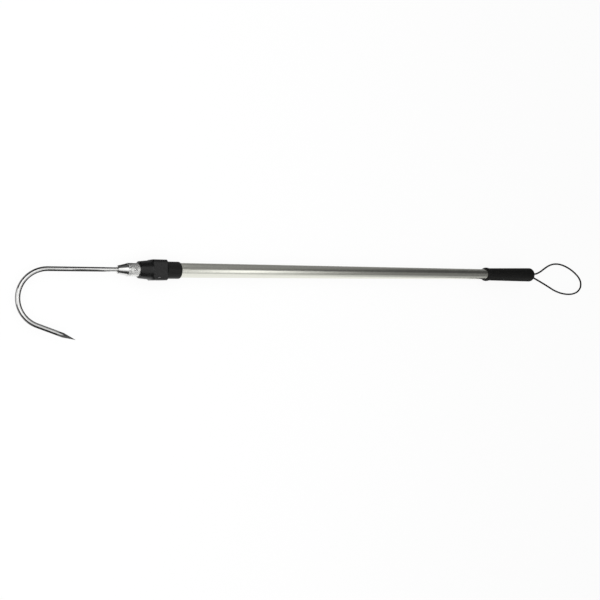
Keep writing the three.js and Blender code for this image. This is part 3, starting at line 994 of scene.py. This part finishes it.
@dataclass
class HookSection:
    """The inner tube with the pieces at both its ends, and the hook."""

    tube_wall: float = 1.0 * MM
    screw_station: float = 964.1 * MM
    screw_hole: float = 1.65 * MM
    screw_shank: float = 1.5 * MM
    head_round: float = 1.2 * MM
    slot_width: float = 1.1 * MM
    slot_depth: float = 1.2 * MM
    # The shares of the slot's depth, from the head's top, where its painted shade starts and ends.
    shade_start: float = 0.25
    shade_end: float = 1.01
    screw_edge: float = 0.06 * MM
    head_gap: float = 0.05 * MM
    slot_angle: float = math.radians(40)
    rivet_station: float = 74.3 * MM
    rivet_hole: float = 1.75 * MM
    rim_start: float = 971.5 * MM
    rim_end: float = 974.5 * MM
    rim_bevel: float = 0.3 * MM
    spigot_radius: float = 8.2 * MM
    ferrule_bore: float = 3.3 * MM
    nose_base: float = 8.7 * MM
    nose_radius: float = 5.6 * MM
    nose_round: float = 0.9 * MM
    nose_front: float = 988.0 * MM
    wire_radius: float = 3.15 * MM
    bend_radius: float = 38.5 * MM
    bend_station: float = 1082.0 * MM
    sweep: float = math.radians(157)
    leg_length: float = 54.3 * MM
    point_length: float = 18.3 * MM
    point_facets: int = 4
    blunt: float = 0.05 * MM
    wire_sides: int = 48
    bend_steps: int = 240
    shank_steps: int = 12
    leg_steps: int = 24
    grind_reach: float = 1.6
    grind_margin: float = 1.5

    def drilled_tube(self) -> bpy.types.Object:
        """Makes the inner tube, drilled for the rivet and the screw.

        Returns:
            The tube.
        """
        plain = tube("inner_pole", "inner_tube", self.tube_wall)
        out = Vector((0, 0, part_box("inner_tube")[1].z * 2))
        rivet, screw = Vector((self.rivet_station, 0, 0)), Vector((self.screw_station, 0, 0))
        across = rod("hole", self.rivet_hole, rivet - out, rivet + out)
        combine(plain, [across, rod("hole", self.screw_hole, screw, screw + out)])
        return plain

    def ferrule(self) -> bpy.types.Object:
        """Makes the coned ferrule with its rim and its spigot.

        Returns:
            The ferrule.
        """
        low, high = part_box("hook_ferrule")
        outline = [
            (low.x, self.ferrule_bore), (low.x, self.spigot_radius),
            (self.rim_start, self.spigot_radius), (self.rim_start, high.z, self.rim_bevel),
            (self.rim_end, high.z, EDGE), (self.rim_end, self.nose_base),
            (self.nose_front, self.nose_radius, self.nose_round),
            (self.nose_front, self.ferrule_bore, FINE_EDGE),
        ]
        ferrule = turned("coned_ferrule", outline)
        foot = Vector((self.screw_station, 0, 0))
        combine(ferrule, [rod("hole", self.screw_hole, foot, foot + Vector((0, 0, high.z)))])
        return ferrule

    def screw(self) -> bpy.types.Object:
        """Makes the slotted pan-head screw.

        Returns:
            The screw.
        """
        low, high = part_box("hook_screw")
        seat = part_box("inner_tube")[1].z + self.head_gap
        radius = high.y
        outline = [
            (low.z, 0), (low.z, self.screw_shank, EDGE), (seat, self.screw_shank),
            (seat, radius, FINE_EDGE), (high.z, radius, self.head_round), (high.z, 0),
        ]
        screw = turned("hook_pan_screw", outline, SMALL_STEPS)
        upright = Matrix.Rotation(-math.pi / 2, 4, "Y")
        screw.data.transform(Matrix.Translation((self.screw_station, 0, 0)) @ upright)
        top = Matrix.Translation((self.screw_station, 0, high.z))
        turn = Matrix.Rotation(self.slot_angle - math.pi / 2, 4, "Z")
        slot = block("slot", Vector((radius * 3, self.slot_width, self.slot_depth * 2)), top @ turn)
        combine(screw, [slot])
        soften(screw, self.screw_edge)
        return screw

    def paint_slot_shade(self, screw: bpy.types.Object, shade_finish: PolishedSteel) -> None:
        """Paints shade on the floor and the walls of the screw's slot, by giving them a dark finish.

        Args:
            screw: The dressed screw.
            shade_finish: The slot's dark finish, which paints its shade.
        """
        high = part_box("hook_screw")[1]
        screw.data.materials.append(material_of(shade_finish))
        # The slot's faces between these heights get the painted shade.
        top, bottom = (high.z - self.slot_depth * share for share in (self.shade_start, self.shade_end))
        for face in screw.data.polygons:
            out = face.center - Vector((self.screw_station, 0, face.center.z))
            if out.length < high.y - self.head_round and bottom < face.center.z < top:
                face.material_index = 1

    def hook_line(self) -> list[Vector]:
        """Gives the wire's centre line: straight shank, round bend, straight leg.

        Returns:
            The line's points.
        """
        start, end = Vector((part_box("hook")[0].x, 0, 0)), Vector((self.bend_station, 0, 0))
        shank = [start.lerp(end, number / self.shank_steps) for number in range(self.shank_steps)]
        centre = Vector((self.bend_station, self.bend_radius, 0))
        turns = [self.sweep * number / self.bend_steps for number in range(self.bend_steps + 1)]
        bend = [centre + Vector((math.sin(turn), -math.cos(turn), 0)) * self.bend_radius for turn in turns]
        heading = Vector((math.cos(self.sweep), math.sin(self.sweep), 0))
        stride = heading * self.leg_length / self.leg_steps
        leg = [bend[-1] + stride * number for number in range(1, self.leg_steps + 1)]
        return [*shank, *bend, *leg]

    def hook(self) -> bpy.types.Object:
        """Makes the hook from one wire, and grinds its point.

        Returns:
            The hook.
        """
        line = self.hook_line()
        shape = swept(line, self.wire_radius, self.wire_sides, Vector((0, 0, 1)))
        heading = (line[-1] - line[-2]).normalized()
        tip = line[-1] - heading * self.blunt
        aside = Vector((-heading.y, heading.x, 0))
        slant = math.atan(self.wire_radius / self.point_length * math.cos(math.pi / self.point_facets))
        for number in range(self.point_facets):
            turn = TURN * (number + 0.5) / self.point_facets
            out = aside * math.cos(turn) + Vector((0, 0, math.sin(turn)))
            facet = out * math.cos(slant) + heading * math.sin(slant)
            self.grind(shape, tip, heading, facet)
        return object_of("steel_hook", shape)

    def grind(self, shape: bmesh.types.BMesh, tip: Vector, heading: Vector, facet: Vector) -> None:
        """Cuts one flat facet at the wire's end.

        Args:
            shape: The wire.
            tip: Where the facets meet.
            heading: The way the point heads.
            facet: The facet's outward normal.
        """
        reach = self.point_length * self.grind_reach
        near = []
        for face in shape.faces:
            gap = face.calc_center_median() - tip
            if gap.dot(heading) > -reach and gap.length < reach * self.grind_margin:
                near.append(face)
        edges = dict.fromkeys(edge for face in near for edge in face.edges)
        points = dict.fromkeys(vertex for face in near for vertex in face.verts)
        parts = [*near, *edges, *points]
        cut = bmesh.ops.bisect_plane(
            shape, geom=parts, dist=MERGE, plane_co=tip, plane_no=facet, clear_outer=True
        )["geom_cut"]
        rim = [item for item in cut if isinstance(item, bmesh.types.BMEdge) and item.is_boundary]
        bmesh.ops.contextual_create(shape, geom=rim)

    def make(self) -> None:
        """Makes the section's pieces and dresses them."""
        stub = DrawnAluminium(
            name="stub_aluminium", light=(0.84, 0.84, 0.82), dark=(0.75, 0.75, 0.73), smooth=0.3, rough=0.42
        )
        steel = PolishedSteel(name="ferrule_steel", line_scale=(1800.0, 30.0, 30.0))
        wire = PolishedSteel(name="wire_steel", line_scale=(16.0, 16.0, 55.0), along_wire=True)
        screw = PolishedSteel(
            name="plated_screw", slot=Slot.SCREW, light=(0.95, 0.95, 0.94), dark=(0.88, 0.88, 0.87),
            smooth=0.05, rough=0.09,
        )
        # A dark finish that paints shade into the screw's slot.
        shade_finish = PolishedSteel(
            name="painted_slot_shade", slot=Slot.SCREW, light=(0.12, 0.12, 0.12), dark=(0.06, 0.06, 0.06),
            smooth=0.45, rough=0.6,
        )
        dress(self.drilled_tube(), stub, Body.HOOK_SECTION, "inner_tube")
        dress(self.ferrule(), steel, Body.HOOK_SECTION, "hook_ferrule", angle=20)
        slotted = self.screw()
        dress(slotted, screw, Body.HOOK_SECTION, "hook_screw")
        self.paint_slot_shade(slotted, shade_finish)
        dress(self.hook(), wire, Body.HOOK_SECTION, "hook", angle=22)
        refinish(GREY_NYLON, "tube_plug", "glide_ring")
        refinish(DrawnAluminium(name="rivet_aluminium"), "plug_rivet")


@dataclass(frozen=True)
class SoftBox:
    """One lamp: a soft rectangle of even light."""

    name: str
    centre: Triple
    facing: Triple
    width: float
    length: float
    brightness: float

    def make(self) -> None:
        """Hangs the lamp."""
        data = bpy.data.lights.new(self.name, "AREA")
        data.shape = "RECTANGLE"
        data.size = self.width
        data.size_y = self.length
        data.energy = self.brightness * math.pi * self.width * self.length
        lamp = bpy.data.objects.new(self.name, data)
        lamp.location = self.centre
        lamp.rotation_euler = Vector(self.facing).to_track_quat("-Z", "Y").to_euler()
        lamp.visible_camera = False
        bpy.context.scene.collection.objects.link(lamp)


@dataclass(frozen=True)
class Flag:
    """One thin board that only shows in polished pieces.

    Its tone changes evenly along the pole, or stays the same where no high tone is given.
    """

    name: str
    low: Triple
    high: Triple
    low_tone: float
    high_tone: float | None = None
    cloud_scale: Triple = (3.0, 3.0, 3.0)
    cloud_tone: Span = (0.92, 1.08)

    def make(self) -> None:
        """Stands the board up."""
        low, high = Vector(self.low), Vector(self.high)
        board = block(self.name, high - low, Matrix.Translation((low + high) / 2))
        graph = NodeGraph(self.name)
        place = graph.place()
        station = graph.add("ShaderNodeSeparateXYZ", {"Vector": place}).outputs["X"]
        high_tone = self.low_tone if self.high_tone is None else self.high_tone
        inputs = {"Value": station, "From Min": low.x, "From Max": high.x}
        inputs |= {"To Min": self.low_tone, "To Max": high_tone}
        tone = graph.add("ShaderNodeMapRange", inputs).outputs["Result"]
        cloud = graph.spread(graph.noise(place, self.cloud_scale, detail=2.0), *self.cloud_tone)
        glow = graph.glow(graph.sum("MULTIPLY", tone, cloud))
        graph.add("ShaderNodeOutputMaterial", {"Surface": glow})
        board.data.materials.append(graph.owner)
        board.visible_camera = False
        board.visible_diffuse = False
        board.visible_shadow = False


@dataclass
class Studio:
    """The table, the lamps, the flags, the room light and the camera."""

    eye: Triple = (1.3523, 0.0367, 0.8872)
    forward: Triple = (-0.6113, 0.0096, -0.7914)
    up: Triple = (-0.0156, -0.9998, 0.0)
    lens: float = 39.83
    sensor: float = 36.0
    floor_size: float = 30.0
    floor_height: float = -15.35 * MM
    floor_glow: float = 0.9
    floor_dark: Colour = (0.9, 0.9, 0.9)
    floor_light: Colour = (0.97, 0.97, 0.97)
    fibre_scale: Triple = (400.0, 400.0, 400.0)
    room_light: float = 0.7
    lamps: tuple[SoftBox, ...] = (
        SoftBox("shank_softbox", (0.725, 0.0, 1.0), (0, 0, -1), 0.35, 1.9, 0.62),
        SoftBox("bend_softbox", (1.475, 0.0, 1.0), (0, 0, -1), 1.15, 1.9, 1.2),
    )
    flags: tuple[Flag, ...] = (
        Flag("ceiling_far", (-3.0, -0.3, 1.5), (-1.2, 1.2, 1.501), 0.2, 0.16),
        Flag("ceiling_middle", (-1.2, -0.3, 1.5), (-0.75, 1.2, 1.501), 0.12, 0.2),
        Flag("ceiling_rise", (-0.75, -0.3, 1.5), (-0.3, 0.6, 1.501), 0.22, 1.15),
        Flag("ceiling_peak", (-0.3, -0.3, 1.5), (-0.08, 0.75, 1.501), 1.8),
        Flag("ceiling_fall", (-0.08, -0.3, 1.5), (0.15, 0.6, 1.501), 0.7, 0.5),
        Flag("ceiling_rise_edge", (-0.75, 0.6, 1.5), (-0.3, 1.2, 1.501), 0.35, 1.2),
        Flag("ceiling_fall_edge", (-0.08, 0.6, 1.5), (0.3, 1.2, 1.501), 0.7, 0.4),
        Flag("ceiling_peak_edge", (-0.3, 0.75, 1.5), (-0.08, 1.2, 1.501), 1.1, 0.8),
        Flag("ceiling_lock", (0.15, -0.3, 1.5), (0.5, 0.6, 1.501), 0.5, 0.4),
        Flag("ceiling_hook", (0.5, -0.3, 1.5), (3.0, 1.2, 1.501), 0.05),
        Flag("ceiling_near_far", (-3.0, -0.8, 1.5), (-0.6, -0.3, 1.501), 0.02, 0.12),
        Flag("ceiling_near", (-0.6, -0.8, 1.5), (3.0, -0.3, 1.501), 0.24),
        Flag("near_side_far", (-3.0, -0.8, -0.014), (-0.55, -0.799, 1.5), 0.03, 0.08),
        Flag("near_side_middle", (-0.55, -0.8, -0.014), (-0.1, -0.799, 1.5), 0.1, 0.22),
        Flag("near_side_tube", (-0.1, -0.8, -0.014), (0.5, -0.799, 0.3), 0.23, 0.28),
        Flag("near_side_tube_high", (-0.1, -0.8, 0.3), (0.48, -0.799, 1.5), 0.23, 0.28),
        Flag("near_side_lock", (0.5, -0.8, -0.014), (0.63, -0.799, 0.3), 0.6),
        Flag("near_side_lock_high", (0.48, -0.8, 0.3), (0.63, -0.799, 1.5), 0.9),
        Flag("ceiling_near_lock", (0.22, -0.8, 1.49), (0.5, -0.3, 1.491), 0.5),
        Flag("screw_panel", (0.49, -0.2, 0.99), (0.56, 0.05, 0.991), 2.0),
        Flag("near_side_hook", (0.63, -0.8, -0.014), (3.0, -0.799, 1.5), 0.02),
        Flag("table_flag", (-3.0, -0.8, -0.0148), (3.0, -0.02, -0.0146), 0.25),
        Flag("far_side_high", (-3.0, 1.2, 1.0), (-0.7, 1.201, 1.5), 0.05, 0.32),
        Flag("far_side_high_lock", (-0.7, 1.2, 1.0), (0.3, 1.201, 1.5), 0.4, 0.6),
        Flag("far_side", (-3.0, 1.2, 0.3), (-0.75, 1.201, 1.0), 0.2, 0.5),
        Flag("far_side_lock", (-0.75, 1.2, 0.3), (-0.1, 1.201, 1.0), 0.6, 0.9),
        Flag("far_side_low", (-3.0, 1.2, -0.014), (-0.4, 1.201, 0.3), 0.02, 0.65),
        Flag("end_flag", (-3.0, -0.8, -0.014), (-2.999, 1.2, 1.5), 0.1),
        Flag("hook_flag", (0.755, 0.5, -0.014), (3.0, 0.501, 0.2), 0.03),
        Flag("hook_flag_high", (0.725, 0.5, 0.2), (3.0, 0.501, 0.7), 0.03),
        Flag("hook_table_flag", (1.0, -0.2, -0.0144), (1.115, 0.5, -0.0142), 0.03),
        Flag("hook_table_flag_end", (1.115, -0.2, -0.0144), (2.0, 0.5, -0.0142), 0.25, 0.5),
        Flag("ferrule_table_flag", (0.95, -0.8, -0.0144), (2.0, -0.2, -0.0142), 0.03),
        Flag("ferrule_near_flag", (0.95, -0.2, -0.0144), (1.0, -0.012, -0.0142), 0.03),
        Flag("wire_table_flag", (0.991, 0.008, -0.0144), (1.0, 0.5, -0.0142), 0.03),
        Flag("bend_flag", (1.0, 0.02, -0.014), (1.001, 0.065, 0.14), 0.07),
        Flag("bend_flag_low", (1.0, 0.065, -0.014), (1.001, 0.25, 0.09), 0.07),
        Flag("wire_near_flag", (0.55, -0.785, 0.55), (0.63, -0.784, 0.95), 0.03),
        Flag("wire_near_flag_low", (0.59, -0.785, 0.3), (0.63, -0.784, 0.55), 0.03),
        Flag("nose_near_flag", (0.9, -0.79, 0.05), (1.02, -0.789, 0.95), 0.13),
        Flag("nose_veil", (0.95, 0.3, 0.985), (1.07, 0.8, 0.986), 0.5),
        Flag("nose_far_flag", (1.0, 0.45, -0.014), (1.06, 0.451, 0.6), 0.13),
        Flag("grip_table_flag", (-0.15, 0.012, -0.0144), (0.15, 0.5, -0.0142), 0.06),
    )

    def camera(self) -> None:
        """Sets up the camera."""
        data = bpy.data.cameras.new("camera")
        data.lens = self.lens
        data.sensor_width = self.sensor
        camera = bpy.data.objects.new("camera", data)
        ahead = Vector(self.forward).normalized()
        right = ahead.cross(Vector(self.up)).normalized()
        turn = Matrix((right, right.cross(ahead), -ahead)).transposed()
        camera.matrix_world = Matrix.Translation(self.eye) @ turn.to_4x4()
        bpy.context.scene.collection.objects.link(camera)
        bpy.context.scene.camera = camera

    def background_rays(self, graph: NodeGraph) -> bpy.types.NodeSocket:
        """Gives 1 for the rays that show the background: seen, mirrored and passed on by glass.

        Args:
            graph: The node tree.

        Returns:
            The value's socket.
        """
        rays = graph.add("ShaderNodeLightPath").outputs
        shown = graph.sum("MAXIMUM", rays["Is Camera Ray"], rays["Is Glossy Ray"])
        return graph.sum("MAXIMUM", shown, rays["Is Transmission Ray"])

    def floor(self) -> None:
        """Lays the pale table top, which keeps a faint shadow."""
        graph = NodeGraph("table_top")
        fibre = graph.noise(graph.place(), self.fibre_scale, detail=2.0)
        colour = graph.ramp(fibre, self.floor_dark, self.floor_light, (0.0, 1.0))
        paper = graph.add("ShaderNodeBsdfDiffuse", {"Color": colour}).outputs[0]
        share = graph.sum("MULTIPLY", self.background_rays(graph), self.floor_glow)
        table = graph.add("ShaderNodeMixShader", {0: share, 1: paper, 2: graph.glow(1.0)})
        graph.add("ShaderNodeOutputMaterial", {"Surface": table.outputs[0]})
        shape = bmesh.new()
        low = Matrix.Translation((0, 0, self.floor_height))
        bmesh.ops.create_grid(shape, x_segments=1, y_segments=1, size=self.floor_size / 2, matrix=low)
        floor = object_of("table_top", shape)
        floor.data.materials.append(graph.owner)

    def room(self) -> None:
        """Sets the room's light: a white background, and a softer even light on surfaces."""
        world = bpy.data.worlds.new("room")
        bpy.context.scene.world = world
        graph = NodeGraph(world)
        strength = graph.spread(self.background_rays(graph), self.room_light, 1.0)
        light = graph.add("ShaderNodeBackground", {"Color": WHITE, "Strength": strength})
        graph.add("ShaderNodeOutputWorld", {"Surface": light.outputs[0]})

    def make(self) -> None:
        """Makes the floor, the room, the lamps and the flags, and sets the view."""
        self.floor()
        self.room()
        for item in (*self.lamps, *self.flags):
            item.make()
        bpy.context.scene.view_settings.view_transform = "Standard"


def main() -> None:
    """Makes the gaff's looks."""
    logging.basicConfig(level=logging.INFO, format="%(name)s %(message)s")
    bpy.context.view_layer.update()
    studio = Studio()
    studio.camera()
    Lanyard().make()
    Pole().make()
    TwistLock().make()
    HookSection().make()
    studio.make()


if __name__ == "__main__":
    main()
